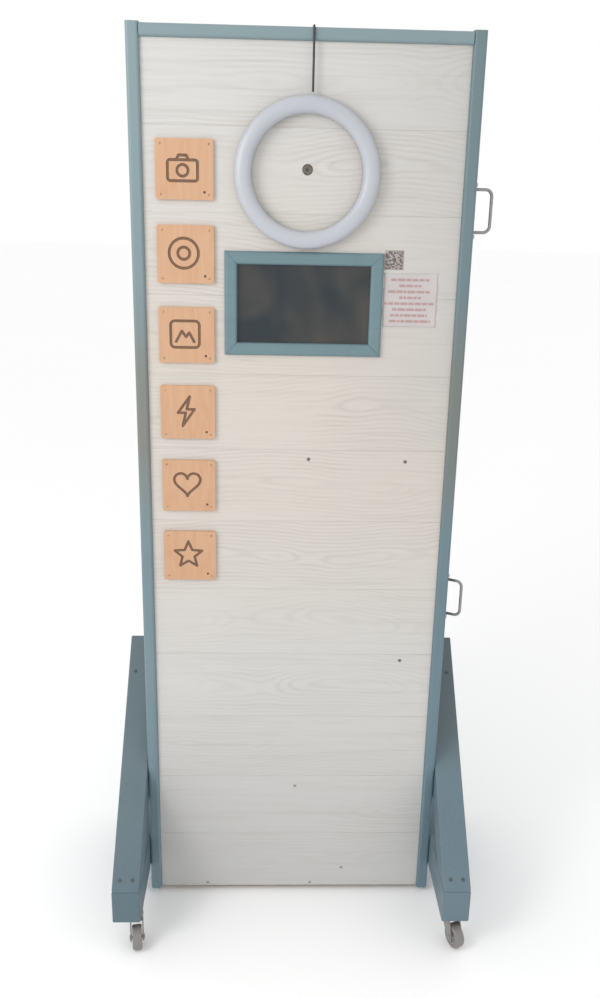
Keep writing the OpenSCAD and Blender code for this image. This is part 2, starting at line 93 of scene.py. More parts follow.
class Net:
    """A small helper that wires one Principled material."""

    def __init__(self, name):
        self.mat = bpy.data.materials.new(name)
        self.mat.use_nodes = True
        self.tree = self.mat.node_tree
        self.bsdf = self.tree.nodes["Principled BSDF"]

    def node(self, kind, **settings):
        n = self.tree.nodes.new(kind)
        for key, value in settings.items():
            setattr(n, key, value)
        return n

    def feed(self, socket, value):
        if isinstance(value, bpy.types.NodeSocket):
            self.tree.links.new(value, socket)
        elif isinstance(value, (tuple, list)) and len(value) == 3 and socket.type == "RGBA":
            socket.default_value = (*value, 1.0)
        else:
            socket.default_value = value

    def place(self, stretch=(1, 1, 1), shift=(0, 0, 0)):
        """Object coordinates, scaled and moved."""
        coord = self.node("ShaderNodeTexCoord")
        mapping = self.node("ShaderNodeMapping")
        mapping.inputs["Scale"].default_value = stretch
        mapping.inputs["Location"].default_value = shift
        self.feed(mapping.inputs["Vector"], coord.outputs["Object"])
        return mapping.outputs["Vector"]

    def noise(self, vector, scale=1.0, detail=2.0, rough=0.5, twist=0.0):
        n = self.node("ShaderNodeTexNoise")
        self.feed(n.inputs["Vector"], vector)
        self.feed(n.inputs["Scale"], scale)
        self.feed(n.inputs["Detail"], detail)
        self.feed(n.inputs["Roughness"], rough)
        self.feed(n.inputs["Distortion"], twist)
        return n.outputs["Fac"]

    def cells(self, vector, scale):
        n = self.node("ShaderNodeTexVoronoi")
        self.feed(n.inputs["Vector"], vector)
        self.feed(n.inputs["Scale"], scale)
        return n.outputs["Distance"]

    def math(self, kind, a, b=0.0, c=0.0):
        n = self.node("ShaderNodeMath", operation=kind)
        for socket, value in zip(n.inputs, (a, b, c)):
            self.feed(socket, value)
        return n.outputs[0]

    def split(self, vector):
        n = self.node("ShaderNodeSeparateXYZ")
        self.feed(n.inputs[0], vector)
        return n.outputs

    def join(self, x, y, z):
        n = self.node("ShaderNodeCombineXYZ")
        for socket, value in zip(n.inputs, (x, y, z)):
            self.feed(socket, value)
        return n.outputs[0]

    def range(self, value, a, b, to_a=0.0, to_b=1.0):
        n = self.node("ShaderNodeMapRange")
        n.clamp = True
        for socket, v in zip(n.inputs, (value, a, b, to_a, to_b)):
            self.feed(socket, v)
        return n.outputs[0]

    def mix(self, fac, a, b):
        n = self.node("ShaderNodeMix", data_type="RGBA")
        self.feed(n.inputs[0], fac)
        self.feed(n.inputs[6], a)
        self.feed(n.inputs[7], b)
        return n.outputs[2]

    def bump(self, height, strength, distance):
        n = self.node("ShaderNodeBump")
        self.feed(n.inputs["Height"], height)
        self.feed(n.inputs["Strength"], strength)
        self.feed(n.inputs["Distance"], distance)
        self.feed(self.bsdf.inputs["Normal"], n.outputs[0])

    def finish(self, **sockets):
        for name, value in sockets.items():
            self.feed(self.bsdf.inputs[name.replace("_", " ")], value)
        return self.mat


def whitewashed():
    """White-washed boards: nested eye-shaped figures along each board's middle, and fine fibres, with
    painted warm light about the middle height and painted shade towards the bottom and at the top right.
    """
    ring_pitch, drift_range, ripple_range = 0.0076, 0.11, 0.0045
    warm_height, foot_top, foot_bottom = 1.12, 0.55, 0.12
    white, warm = (0.575, 0.570, 0.556), (0.600, 0.552, 0.496)
    # The first two colours on the next line are painted shade, low down and at the top right.
    grime_and_shade, shaded_white, grain = (0.42, 0.42, 0.425), (0.500, 0.488, 0.470), (0.44, 0.408, 0.366)
    n = Net("whitewashed_boards")
    x, _, z = n.split(n.place())
    row_place = n.math("DIVIDE", n.math("SUBTRACT", z, FIRST_JOINT), PLANK_PITCH)
    row = n.math("FLOOR", row_place)
    seed = n.math("MULTIPLY", row, 7.31)
    across = n.math("MULTIPLY", n.math("SUBTRACT", n.math("FRACT", row_place), 0.5), PLANK_PITCH)
    drift = n.noise(n.join(n.math("MULTIPLY_ADD", x, 2.2, seed), seed, 4.0), 1.0, 1.0, 0.4)
    across = n.math("MULTIPLY_ADD", n.math("SUBTRACT", drift, 0.5), drift_range, across)
    depth = n.noise(n.join(n.math("MULTIPLY_ADD", x, 4.6, seed), 1.0, seed), 1.0, 1.5, 0.4)
    depth = n.math("MULTIPLY_ADD", n.math("SUBTRACT", depth, 0.30), 0.085, 0.003)
    square = n.math("ADD", n.math("MULTIPLY", across, across), n.math("MULTIPLY", depth, depth))
    ripple_at = n.join(n.math("MULTIPLY_ADD", x, 16.0, seed), seed, n.math("MULTIPLY", z, 60.0))
    ripple = n.noise(ripple_at, 1.0, 2.0, 0.5)
    rings = n.math("MULTIPLY_ADD", ripple, ripple_range, n.math("SQRT", square))
    rings = n.math("SINE", n.math("MULTIPLY", rings, math.tau / ring_pitch))
    rings = n.math("POWER", n.range(rings, -1.0, 1.0), 2.2)
    patch_at = n.join(n.math("MULTIPLY_ADD", x, 3.0, seed), seed, n.math("MULTIPLY", z, 7.0))
    patch = n.range(n.noise(patch_at, 1.0, 2.0, 0.5), 0.40, 0.66, 0.08, 1.0)
    rubbed = n.range(z, 0.5, 1.5, 0.70, 1.0)
    rings = n.math("MULTIPLY", n.math("MULTIPLY", rings, patch), rubbed)
    fibre_at = n.join(n.math("MULTIPLY_ADD", x, 9.0, seed), seed, n.math("MULTIPLY", z, 520.0))
    fibre = n.range(n.noise(fibre_at, 1.0, 4.0, 0.6), 0.34, 0.72)
    streak_at = n.join(n.math("MULTIPLY_ADD", x, 3.4, seed), seed, n.math("MULTIPLY", z, 120.0))
    streak = n.range(n.noise(streak_at, 1.0, 3.0, 0.60, 0.6), 0.50, 0.72)
    tone = n.math("ADD", n.math("MULTIPLY", rings, 0.42), n.math("MULTIPLY", fibre, 0.18))
    tone = n.math("MULTIPLY_ADD", streak, 0.30, tone)
    # Painted warm light: the boards turn warmer about the middle height, broken up by soft clouds.
    off_middle = n.math("ABSOLUTE", n.math("SUBTRACT", z, warm_height))
    warm_light = n.range(off_middle, 0.60, 0.12)
    clouds = n.noise(n.place((2.0, 1.0, 2.6)), 1.0, 2.0, 0.5)
    warm_light = n.math("MULTIPLY", warm_light, n.range(clouds, 0.30, 0.56, 0.55, 1.0))
    ground = n.mix(warm_light, white, warm)
    # Painted shade towards the bottom of the boards, strongest on the left.
    foot_shade = n.range(z, foot_top, foot_bottom, 0.0, 0.55)
    foot_shade = n.math("MULTIPLY", foot_shade, n.range(x, -0.25, 0.25, 1.0, 0.40))
    ground = n.mix(foot_shade, ground, grime_and_shade)
    # Painted shade at the top right of the boards, where less light falls.
    corner_shade = n.math("MULTIPLY", n.range(x, 0.04, 0.30, 0.0, 0.85), n.range(z, 0.90, 1.20))
    ground = n.mix(corner_shade, ground, shaded_white)
    worn = n.mix(n.range(tone, 0.0, 1.0), ground, grain)
    n.bump(n.math("MULTIPLY", tone, -1.0), 0.20, 0.0003)
    return n.finish(Base_Color=worn, Roughness=n.range(fibre, 0.0, 1.0, 0.46, 0.60), IOR=1.45)


def painted(name, main, shade, light, along, shift=0.0, fading_and_shadow=None, fading_and_shadow_span=(0.35, 1.70), stained=None):
    """Brushed paint on timber, along the axis of its strokes; it fades upwards and stains half way up,
    and on the right leg the upward change is a painted shadow.
    """
    n = Net(name)
    long, short, stain_height = 3.0, 160.0, 1.12
    stretch = [short, short, short]
    stretch["xyz".index(along)] = long
    strokes = n.noise(n.place(tuple(stretch), (shift, shift, shift)), 1.0, 4.0, 0.6)
    clouds = n.noise(n.place((3.0, 3.0, 3.0), (shift, 2.0, 1.0)), 1.0, 3.0, 0.6)
    body = n.mix(n.range(strokes, 0.32, 0.70), shade, main)
    body = n.mix(n.range(clouds, 0.38, 0.66, 0.0, 0.55), body, light)
    height = n.split(n.place())[2]
    # Towards the top the paint turns to a second colour: a fade, and on the right leg a painted shadow
    # cast by the cabinet.
    if fading_and_shadow:
        body = n.mix(n.range(height, *fading_and_shadow_span, 0.0, 0.85), body, fading_and_shadow)
    if stained:
        off_band = n.math("ABSOLUTE", n.math("SUBTRACT", height, stain_height))
        band = n.math("MULTIPLY", n.range(off_band, 0.26, 0.08), n.range(clouds, 0.30, 0.60, 0.55, 0.85))
        body = n.mix(band, body, stained)
    grime_and_shade = n.noise(n.place((14.0, 14.0, 9.0), (1.0, shift, 4.0)), 1.0, 5.0, 0.7)
    body = n.mix(n.range(grime_and_shade, 0.60, 0.74, 0.0, 0.35), body, tuple(c * 0.62 for c in shade))
    chips = n.cells(n.place((46.0, 46.0, 30.0), (0.3, shift, 0.7)), 1.0)
    gate = n.range(n.noise(n.place((6.0, 6.0, 6.0)), 1.0, 2.0, 0.5), 0.60, 0.68)
    chip = n.math("MULTIPLY", n.range(chips, 0.10, 0.05), gate)
    body = n.mix(n.math("MULTIPLY", chip, 0.6), body, (0.50, 0.47, 0.40))
    n.bump(n.math("SUBTRACT", n.math("MULTIPLY", strokes, 0.5), chip), 0.35, 0.0004)
    return n.finish(Base_Color=body, Roughness=n.range(strokes, 0.2, 0.8, 0.40, 0.60))


def plywood(name, main, dark, along, scale=1.0):
    """Bare or sealed plywood with a soft figure along one axis."""
    n = Net(name)
    stretch = [90.0 * scale] * 3
    stretch["xyz".index(along)] = 5.0 * scale
    fine = n.noise(n.place(tuple(stretch)), 1.0, 4.0, 0.6, 0.3)
    stretch = [16.0 * scale] * 3
    stretch["xyz".index(along)] = 2.4 * scale
    bands = n.noise(n.place(tuple(stretch), (3.0, 1.0, 2.0)), 1.0, 2.0, 0.5, 0.5)
    rings = n.math("POWER", n.range(n.math("SINE", n.math("MULTIPLY", bands, 46.0)), -1, 1), 2.0)
    fibres = n.math("MULTIPLY", n.range(fine, 0.35, 0.70), 0.5)
    tone = n.math("ADD", fibres, n.math("MULTIPLY", rings, 0.3))
    n.bump(fine, 0.25, 0.0003)
    return n.finish(Base_Color=n.mix(tone, main, dark), Roughness=n.range(fine, 0.3, 0.7, 0.45, 0.62))


def metal(name, colour, rough):
    """Metal with fine upright brushing and a light tarnish in patches."""
    tarnish = (0.25, 0.24, 0.22)
    n = Net(name)
    brushed = n.noise(n.place((900.0, 900.0, 72.0)), 1.0, 3.0, 0.6)
    stains = n.noise(n.place((60.0, 60.0, 60.0)), 1.0, 4.0, 0.65)
    tint = n.mix(n.range(stains, 0.48, 0.75, 0.0, 0.7), colour, tarnish)
    n.bump(brushed, 0.18, 0.00012)
    gloss = n.range(brushed, 0.3, 0.7, rough * 0.75, rough * 1.25)
    return n.finish(Base_Color=tint, Metallic=0.9, Roughness=gloss)


def oxidised_screw():
    """Dark screw heads, painted over near the floor."""
    n = Net("dark_screw")
    z = n.split(n.place())[2]
    stains = n.noise(n.place((400.0, 400.0, 400.0)), 1.0, 3.0, 0.6)
    tint = n.mix(n.range(stains, 0.35, 0.65), (0.150, 0.138, 0.130), (0.200, 0.184, 0.172))
    tint = n.mix(n.range(z, 0.50, 0.30, 0.0, 0.75), tint, (0.42, 0.41, 0.40))
    n.bump(stains, 0.2, 0.0001)
    return n.finish(Base_Color=tint, Metallic=0.2, Roughness=0.5)


def plastic(name, colour, rough, grain=1400.0, wear=0.18):
    """Moulded plastic, rubber or smooth paint with a fine grain and a dusty cloud."""
    n = Net(name)
    fine = n.noise(n.place((grain, grain, grain)), 1.0, 2.0, 0.5)
    dust = n.noise(n.place((18.0, 18.0, 18.0)), 1.0, 4.0, 0.6)
    tired = tuple(min(1.0, c * 0.8 + 0.03) for c in colour)
    tint = n.mix(n.range(dust, 0.40, 0.70, 0.0, wear * 2), colour, tired)
    n.bump(fine, 0.15, 0.00008)
    return n.finish(Base_Color=tint, Roughness=n.range(dust, 0.3, 0.7, rough * 0.85, rough * 1.15))


def screen_glass():
    """Dark glass with a painted soft brown and grey reflection and faint smears."""
    n = Net("screen_glass")
    painted_reflection = n.noise(n.place((6.0, 6.0, 5.0), (2.6, 0.0, 1.0)), 1.0, 2.0, 0.5, 0.8)
    # The brown and grey veil in the colour is a painted reflection.
    tint = n.mix(n.range(painted_reflection, 0.36, 0.64), (0.019, 0.028, 0.035), (0.064, 0.058, 0.050))
    smears = n.noise(n.place((22.0, 22.0, 60.0)), 1.0, 4.0, 0.6)
    return n.finish(Base_Color=tint, Roughness=n.range(smears, 0.4, 0.7, 0.12, 0.24), IOR=1.42)


def lens_glass():
    n = Net("lens_glass")
    sheen = n.noise(n.place((120.0, 120.0, 120.0)), 1.0, 2.0, 0.5)
    tint = n.mix(n.range(sheen, 0.35, 0.7), (0.120, 0.120, 0.122), (0.145, 0.135, 0.140))
    return n.finish(Base_Color=tint, Roughness=0.06, Coat_Weight=0.8, Coat_Roughness=0.03)


def diffuser_plastic():
    n = Net("ring_diffuser_plastic")
    cloud = n.noise(n.place((9.0, 9.0, 9.0)), 1.0, 2.0, 0.5)
    frost = n.noise(n.place((2600.0, 2600.0, 2600.0)), 1.0, 1.0, 0.5)
    tint = n.mix(n.range(cloud, 0.35, 0.65), (0.486, 0.478, 0.508), (0.462, 0.456, 0.486))
    n.bump(frost, 0.10, 0.00005)
    gloss = n.range(cloud, 0.3, 0.7, 0.34, 0.44)
    return n.finish(Base_Color=tint, Roughness=gloss, Subsurface_Weight=0.12)


def paper(name, colour, tint):
    """Paper or print with pulp grain and soft creases."""
    n = Net(name)
    pulp = n.noise(n.place((500.0, 500.0, 500.0)), 1.0, 3.0, 0.6)
    folds = n.noise(n.place((24.0, 24.0, 24.0)), 1.0, 2.0, 0.5)
    shade = n.mix(n.range(folds, 0.35, 0.66), colour, tint)
    n.bump(n.math("MULTIPLY_ADD", folds, 3.0, pulp), 0.3, 0.0004)
    return n.finish(Base_Color=shade, Roughness=n.range(pulp, 0.3, 0.7, 0.55, 0.75))


def stage_paint():
    n = Net("stage_paint")
    cloud = n.noise(n.place((0.8, 0.8, 0.8)), 1.0, 2.0, 0.5)
    return n.finish(Base_Color=n.mix(cloud, (0.965, 0.965, 0.965), (0.985, 0.985, 0.985)), Roughness=0.9)


BLUE = dict(
    main=(0.150, 0.222, 0.255), shade=(0.130, 0.194, 0.226), light=(0.174, 0.252, 0.282),
    fading_and_shadow=(0.205, 0.280, 0.296)
)
# A darker copy of the blue for the right stile: painted shade, as that stile faces away from the window.
SHADED_BLUE = dict(
    main=(0.122, 0.195, 0.235), shade=(0.106, 0.172, 0.208), light=(0.142, 0.218, 0.258),
    fading_and_shadow=(0.137, 0.196, 0.206)
)
FRAME_BLUE = dict(main=(0.136, 0.220, 0.242), shade=(0.120, 0.196, 0.216), light=(0.156, 0.242, 0.262))
LEG_LEFT = dict(
    main=(0.088, 0.139, 0.166), shade=(0.076, 0.122, 0.147), light=(0.104, 0.160, 0.188),
    fading_and_shadow=(0.128, 0.172, 0.188), fading_and_shadow_span=(0.15, 0.52)
)
# The right leg is darker and greener above 0.30 to 0.40 m: a painted shadow cast by the cabinet.
LEG_RIGHT = dict(
    main=(0.118, 0.180, 0.214), shade=(0.102, 0.158, 0.190), light=(0.138, 0.204, 0.238),
    fading_and_shadow=(0.112, 0.144, 0.153), fading_and_shadow_span=(0.30, 0.40)
)
MATERIALS = {
    "boards": whitewashed(),
    "blue_x": painted("blue_paint_across", along="x", **BLUE),
    "blue_z": painted("blue_paint_upright", along="z", shift=3.0, stained=(0.186, 0.185, 0.158), **BLUE),
    "blue_panel": painted("blue_paint_panel", along="z", shift=8.0, **BLUE),
    # The right stile's blue is the darker copy of painted shade.
    "blue_right": painted(
        "blue_paint_right_stile_shaded", along="z", shift=6.0, stained=(0.160, 0.172, 0.155), **SHADED_BLUE
    ),
    "blue_frame": painted("blue_paint_screen_frame", along="x", shift=2.0, **FRAME_BLUE),
    "leg_left": painted("leg_paint_left", along="y", **LEG_LEFT),
    "leg_right": painted("leg_paint_right", along="y", shift=5.0, **LEG_RIGHT),
    "ply": plywood("bare_plywood", (0.62, 0.44, 0.26), (0.42, 0.27, 0.14), "x"),
    "tile": plywood("tile_plywood", (0.565, 0.345, 0.215), (0.525, 0.282, 0.148), "z", 1.7),
    "burnt": plywood("burnt_engraving", (0.190, 0.100, 0.055), (0.125, 0.065, 0.036), "z", 4.0),
    "glass": screen_glass(),
    "lens": lens_glass(),
    "black": plastic("black_plastic", (0.028, 0.029, 0.031), 0.5),
    "bezel": plastic("lens_bezel", (0.72, 0.70, 0.66), 0.45),
    "steel": metal("zinc_steel", (0.46, 0.47, 0.48), 0.34),
    "wire": metal("satin_wire", (0.30, 0.30, 0.30), 0.34),
    "caster": plastic("caster_steel", (0.250, 0.232, 0.222), 0.42, 900.0, 0.6),
    "rim": plastic("ring_rim_plastic", (0.41, 0.40, 0.425), 0.34),
    "diffuser": diffuser_plastic(),
    "led": plastic("led_board", (0.82, 0.80, 0.70), 0.5),
    "rubber": plastic("black_rubber", (0.035, 0.035, 0.037), 0.62, 2200.0, 0.3),
    "tyre": plastic("grey_tyre", (0.225, 0.210, 0.200), 0.60, 1600.0, 0.5),
    "hub": plastic("caster_hub", (0.34, 0.34, 0.355), 0.42, 1500.0, 0.4),
    "brass": metal("tile_screw_brass", (0.58, 0.38, 0.22), 0.42),
    "dark_screw": oxidised_screw(),
    "painted_screw": plastic("painted_screw", (0.062, 0.086, 0.098), 0.5, 900.0, 0.5),
    # Dark bars for the screws' cross recesses: painted shade.
    "slot": plastic("screw_recess_shade", (0.070, 0.066, 0.062), 0.7),
    "card": paper("notice_card_paper", (0.530, 0.488, 0.480), (0.503, 0.458, 0.453)),
    "print": paper("notice_print", (0.44, 0.285, 0.275), (0.40, 0.270, 0.262)),
    "sticker": paper("sticker_paper", (0.40, 0.345, 0.325), (0.33, 0.28, 0.265)),
    "tongue": paper("board_tongue", (0.555, 0.54, 0.51), (0.52, 0.50, 0.465)),
    "sticker_ink": paper("sticker_ink", (0.13, 0.12, 0.12), (0.10, 0.09, 0.09)),
    "strip": plastic("strip_plastic", (0.80, 0.79, 0.74), 0.3),
    "rocker": plastic("rocker_plastic", (0.42, 0.02, 0.015), 0.25),
    "stage": stage_paint(),
}


# ---------- mesh helpers ----------

def add(name, mesh, *materials, weighted=True):
    """A new object with its materials, smooth except across edges sharper than 50 degrees."""
    for m in materials:
        mesh.materials.append(MATERIALS[m])
    for p in mesh.polygons:
        p.use_smooth = True
    mesh.set_sharp_from_angle(angle=math.radians(50.0))
    piece = bpy.data.objects.new(name, mesh)
    bpy.context.scene.collection.objects.link(piece)
    if weighted:
        piece.modifiers.new("even_normals", "WEIGHTED_NORMAL").keep_sharp = True
    return piece


def to_mesh(bm, name):
    """Turns the faces outward, makes the mesh and frees the working copy."""
    bmesh.ops.recalc_face_normals(bm, faces=bm.faces)
    mesh = bpy.data.meshes.new(name)
    bm.to_mesh(mesh)
    bm.free()
    return mesh


def soften(bm, width, segments, sharp=30.0):
    """Rounds every edge that bends by more than sharp degrees."""
    edges = [e for e in bm.edges if e.is_manifold and e.calc_face_angle(0.0) > math.radians(sharp)]
    bmesh.ops.bevel(
        bm, geom=edges, offset=width, segments=segments, profile=0.5, affect="EDGES", clamp_overlap=True
    )


def cad_mesh(node):
    """A CAD node's mesh with its flat faces joined into one each."""
    bm = bmesh.new()
    bm.from_mesh(NODES[node].data)
    bmesh.ops.remove_doubles(bm, verts=bm.verts, dist=1e-5)
    bmesh.ops.dissolve_limit(bm, angle_limit=math.radians(0.6), verts=bm.verts, edges=bm.edges)
    return bm


def refined(node, material, width=0.0006, segments=2, body="root"):
    """A copy of a CAD node with softened edges, which stands for the node."""
    bm = cad_mesh(node)
    soften(bm, width, segments)
    piece = add(f"{node}_piece", to_mesh(bm, node), material)
    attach(piece, body)
    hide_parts(node)


def box_mesh(bm, a, b):
    """Adds a box between two corners and returns its points."""
    made = bmesh.ops.create_cube(bm, size=1.0)["verts"]
    size = Vector(b) - Vector(a)
    centre = (Vector(a) + Vector(b)) / 2
    for v in made:
        v.co = Vector((v.co.x * size.x, v.co.y * size.y, v.co.z * size.z)) + centre
    return made


def lathe(bm, profile, turns=96, place=Matrix.Identity(4)):
    """Turns a profile of (radius, height) points about Z; a radius of 0 closes to a point."""
    rings = []
    for radius, height in profile:
        if radius == 0:
            rings.append([bm.verts.new(place @ Vector((0, 0, height)))])
            continue
        rings.append([
            bm.verts.new(place @ Vector((
                radius * math.cos(math.tau * k / turns), radius * math.sin(math.tau * k / turns), height
            ))) for k in range(turns)
        ])
    for a, b in zip(rings, rings[1:]):
        for k in range(turns):
            j = (k + 1) % turns
            if len(a) == 1:
                bm.faces.new((a[0], b[j], b[k]))
            elif len(b) == 1:
                bm.faces.new((a[k], a[j], b[0]))
            else:
                bm.faces.new((a[k], a[j], b[j], b[k]))


def closed_lathe(bm, profile, turns=96, place=Matrix.Identity(4)):
    """A ring-shaped solid: the profile is a closed outline away from the axis."""
    lathe(bm, [*profile, profile[0]], turns, place)
    bmesh.ops.remove_doubles(bm, verts=bm.verts, dist=1e-7)


def tube(bm, points, radius, sides=14, closed=False):
    """A round tube through points, with flat ends unless it is closed; radius may be one per point."""
    pts = [Vector(p) for p in points]
    count = len(pts)
    radii = radius if isinstance(radius, list) else [radius] * count
    rings = []
    normal = None
    for i, p in enumerate(pts):
        before = pts[(i - 1) % count] if closed or i > 0 else p
        after = pts[(i + 1) % count] if closed or i < count - 1 else p
        ahead = (after - before).normalized()
        if normal is None:
            helper = Vector((0, 1, 0)) if abs(ahead.y) < 0.9 else Vector((1, 0, 0))
            normal = ahead.cross(helper).normalized()
        normal = (normal - ahead * normal.dot(ahead)).normalized()
        side = ahead.cross(normal)
        rings.append([
            bm.verts.new(p + radii[i] * (math.cos(a) * normal + math.sin(a) * side))
            for a in (math.tau * k / sides for k in range(sides))
        ])
    last = count if closed else count - 1
    for i in range(last):
        a, b = rings[i], rings[(i + 1) % count]
        for k in range(sides):
            j = (k + 1) % sides
            bm.faces.new((a[k], a[j], b[j], b[k]))
    if not closed:
        bm.faces.new(rings[0])
        bm.faces.new(rings[-1])


def ball(bm, centre, radius, segments, rings):
    bmesh.ops.create_uvsphere(
        bm, u_segments=segments, v_segments=rings, radius=radius, matrix=Matrix.Translation(centre)
    )


def facing_front(x, y, z):
    """Places a lathe so that its height runs towards the front."""
    return Matrix.Translation((x, y, z)) @ Matrix.Rotation(math.pi / 2, 4, "X")


# ---------- cabinet and trim ----------

def make_tongues():
    """The boards' tongues, which show as a shallow line in each joint."""
    a, b = low("cladding_planks"), high("cladding_planks")
    cut_low, cut_high = low("display_housing"), high("display_housing")
    recess, depth, half_gap = 0.00012, 0.010, 0.00048
    clear_z, clear_x = 0.002, 0.0025
    bm = bmesh.new()
    z = FIRST_JOINT + PLANK_PITCH
    while z < b.z:
        spans = [(a.x, b.x)]
        if cut_low.z - clear_z < z < cut_high.z + clear_z:
            spans = [(a.x, cut_low.x - clear_x), (cut_high.x + clear_x, b.x)]
        for left, right in spans:
            box_mesh(bm, (left, a.y + recess, z - half_gap), (right, a.y + depth, z + half_gap))
        z += PLANK_PITCH
    soften(bm, 0.0001, 1)
    tongues = add("cladding_tongues", to_mesh(bm, "cladding_tongues"), "tongue", weighted=False)
    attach(tongues, "root")


def make_stile(node):
    """A stile whose top outer corner is rounded off."""
    a, b = low(node), high(node)
    outer = a.x if node.endswith("left") else b.x
    bm = cad_mesh(node)
    corner = [
        e for e in bm.edges
        if all(abs(v.co.x - outer) < 1e-4 and abs(v.co.z - b.z) < 1e-4 for v in e.verts)
    ]
    bmesh.ops.bevel(bm, geom=corner, offset=0.005, segments=6, profile=0.5, affect="EDGES")
    soften(bm, 0.0007, 2, 40.0)
    # The right stile takes the darker blue of painted shade.
    piece = add(f"{node}_piece", to_mesh(bm, node), "blue_right" if outer > 0 else "blue_z")
    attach(piece, "root")
    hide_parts(node)


def make_cabinet():
    refined("cladding_planks", "boards", 0.0003)
    make_tongues()
    for side in ("left", "right"):
        refined(f"side_panel_{side}", "blue_panel", 0.0012)
        make_stile(f"stile_{side}")
    refined("top_panel", "blue_x", 0.0008)
    refined("bottom_panel", "ply", 0.0008)
    refined("front_backing", "ply", 0.0005)
    refined("shelf", "ply", 0.0010)
    refined("top_rail", "blue_x", 0.0006)


def make_screen():
    refined("screen_frame", "blue_frame", 0.0004)
    refined("display_panel", "glass", 0.0003)
    refined("display_housing", "black", 0.0020)
    refined("display_brackets", "steel", 0.0004)


# ---------- ring light ----------

def dome_line(mid, half, base, rise):
    """Half of a flattened circle as (radius, height) points, from the inside to the outside."""
    steps = 22
    return [
        (mid - half * math.cos(math.pi * i / steps), base + rise * math.sin(math.pi * i / steps) ** 0.8)
        for i in range(steps + 1)
    ]


def make_ring_light():
    """A frosted domed cover on a shallow rim, with the boss that the lead comes out of."""
    centre = middle("ring_light_leds")
    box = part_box("ring_light_diffuser")
    band, rim_depth = 0.0305, 0.010
    outer = (box[1][0] - box[0][0]) / 2
    inner = outer - band
    depth = FACE_Y - box[0][1]
    place = facing_front(centre.x, FACE_Y, centre.z)
    half, rise, mid = (outer - inner) / 2, depth - rim_depth, (outer + inner) / 2
    wall = 0.0016
    dome = dome_line(mid, half, rim_depth, rise)
    under = dome_line(mid, half - wall, rim_depth, rise - wall)[::-1]
    bm = bmesh.new()
    closed_lathe(bm, dome + under, 180, place)
    cover = add("ring_light_cover", to_mesh(bm, "ring_light_cover"), "diffuser", weighted=False)
    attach(cover, "root")
    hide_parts("ring_light_diffuser")
    lip, back, sheet = 0.0006, 0.002, 0.002
    bm = bmesh.new()
    closed_lathe(bm, [
        (inner + lip, back), (outer - lip, back), (outer, back + lip), (outer, rim_depth - lip),
        (outer - lip, rim_depth), (outer - sheet, rim_depth), (outer - sheet, back + sheet),
        (inner + sheet, back + sheet), (inner + sheet, rim_depth), (inner + lip, rim_depth),
        (inner, rim_depth - lip), (inner, back + lip),
    ], 180, place)
    boss_x = middle("cable_grommet").x
    boss = Matrix.Translation((boss_x, FACE_Y - 0.0105, centre.z + outer - 0.004))
    lathe(bm, [
        (0, 0), (0.0030, 0), (0.0030, 0.0045), (0.0027, 0.0052), (0.0027, 0.0062), (0.0024, 0.0068),
        (0.0022, 0.0086), (0, 0.0086)
    ], 24, boss)
    rim = add("ring_light_rim", to_mesh(bm, "ring_light_rim"), "rim")
    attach(rim, "root")
    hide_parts("ring_light_housing")
    refined("ring_light_leds", "led", 0.0002)
    refined("ring_light_pads", "rubber", 0.0002)


CORD_DIAMETER = 0.004
CORD_ROUTE = [
    (12, -10.5, 1705), (12, -10.5, 1730), (12, -10.5, 1755), (12, -10.5, 1780), (12, -10.5, 1795),
    (12, -10.5, 1803), (12, -9.5, 1807.5), (12, -6.5, 1811), (12, -2, 1812.5), (12, 5, 1812.5),
    (12.5, 20, 1812.5), (13, 35, 1812.5), (13.5, 50, 1812.5), (13.5, 65, 1812.5),
    (13, 80, 1812.5), (12.5, 92, 1812.5), (12, 100, 1814), (12, 108, 1818.5),
    (12, 115, 1822.5), (12, 121.5, 1823), (12, 126.5, 1820.5), (12, 129.5, 1815.5),
    (12, 130, 1808), (12, 130, 1800), (12, 130, 1793),
]


def make_cord():
    """The ring light's lead, over the top rail and into the grommet."""
    points = [Vector((x * MM, FACE_Y + y * MM, z * MM)) for x, y, z in CORD_ROUTE]
    curve = bpy.data.curves.new("ring_light_lead", "CURVE")
    curve.dimensions = "3D"
    curve.bevel_depth = CORD_DIAMETER / 2
    curve.bevel_resolution = 4
    curve.resolution_u = 6
    curve.use_fill_caps = True
    spline = curve.splines.new("BEZIER")
    spline.bezier_points.add(len(points) - 1)
    for knot, p in zip(spline.bezier_points, points):
        knot.co = p
        knot.handle_left_type = knot.handle_right_type = "AUTO"
    curve.materials.append(MATERIALS["rubber"])
    lead = bpy.data.objects.new("ring_light_lead", curve)
    bpy.context.scene.collection.objects.link(lead)
    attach(lead, "root")
    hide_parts("ring_light_cord")
    refined("cord_clips", "black", 0.0003)
    refined("cable_grommet", "rubber", 0.0003)


# ---------- camera behind the port ----------

def make_booth_camera():
    refined("camera_body", "black", 0.0020, 3)
    refined("camera_bracket", "steel", 0.0004)
    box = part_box("camera_lens")
    centre = middle("camera_lens")
    length = box[1][1] - box[0][1]
    radius = (box[1][0] - box[0][0]) / 2
    place = facing_front(centre.x, box[1][1], centre.z)
    bm = bmesh.new()
    lathe(bm, [
        (0, 0), (radius, 0), (radius, length - 0.001), (radius - 0.001, length), (radius - 0.003, length),
        (radius - 0.004, length - 0.002), (radius - 0.005, length - 0.0022),
        (radius - 0.007, length - 0.0012), (radius - 0.010, length - 0.0006), (0, length - 0.0004),
    ], 48, place)
    lens = add("camera_lens_barrel", to_mesh(bm, "camera_lens_barrel"), "bezel", "lens", weighted=False)
    front, glass_radius = box[0][1] + 0.0030, 0.0040
    for p in lens.data.polygons:
        away = math.hypot(p.center.x - centre.x, p.center.z - centre.z)
        if p.center.y < front and away < glass_radius:
            p.material_index = 1
    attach(lens, "root")
    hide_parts("camera_lens")


# ---------- tiles ----------

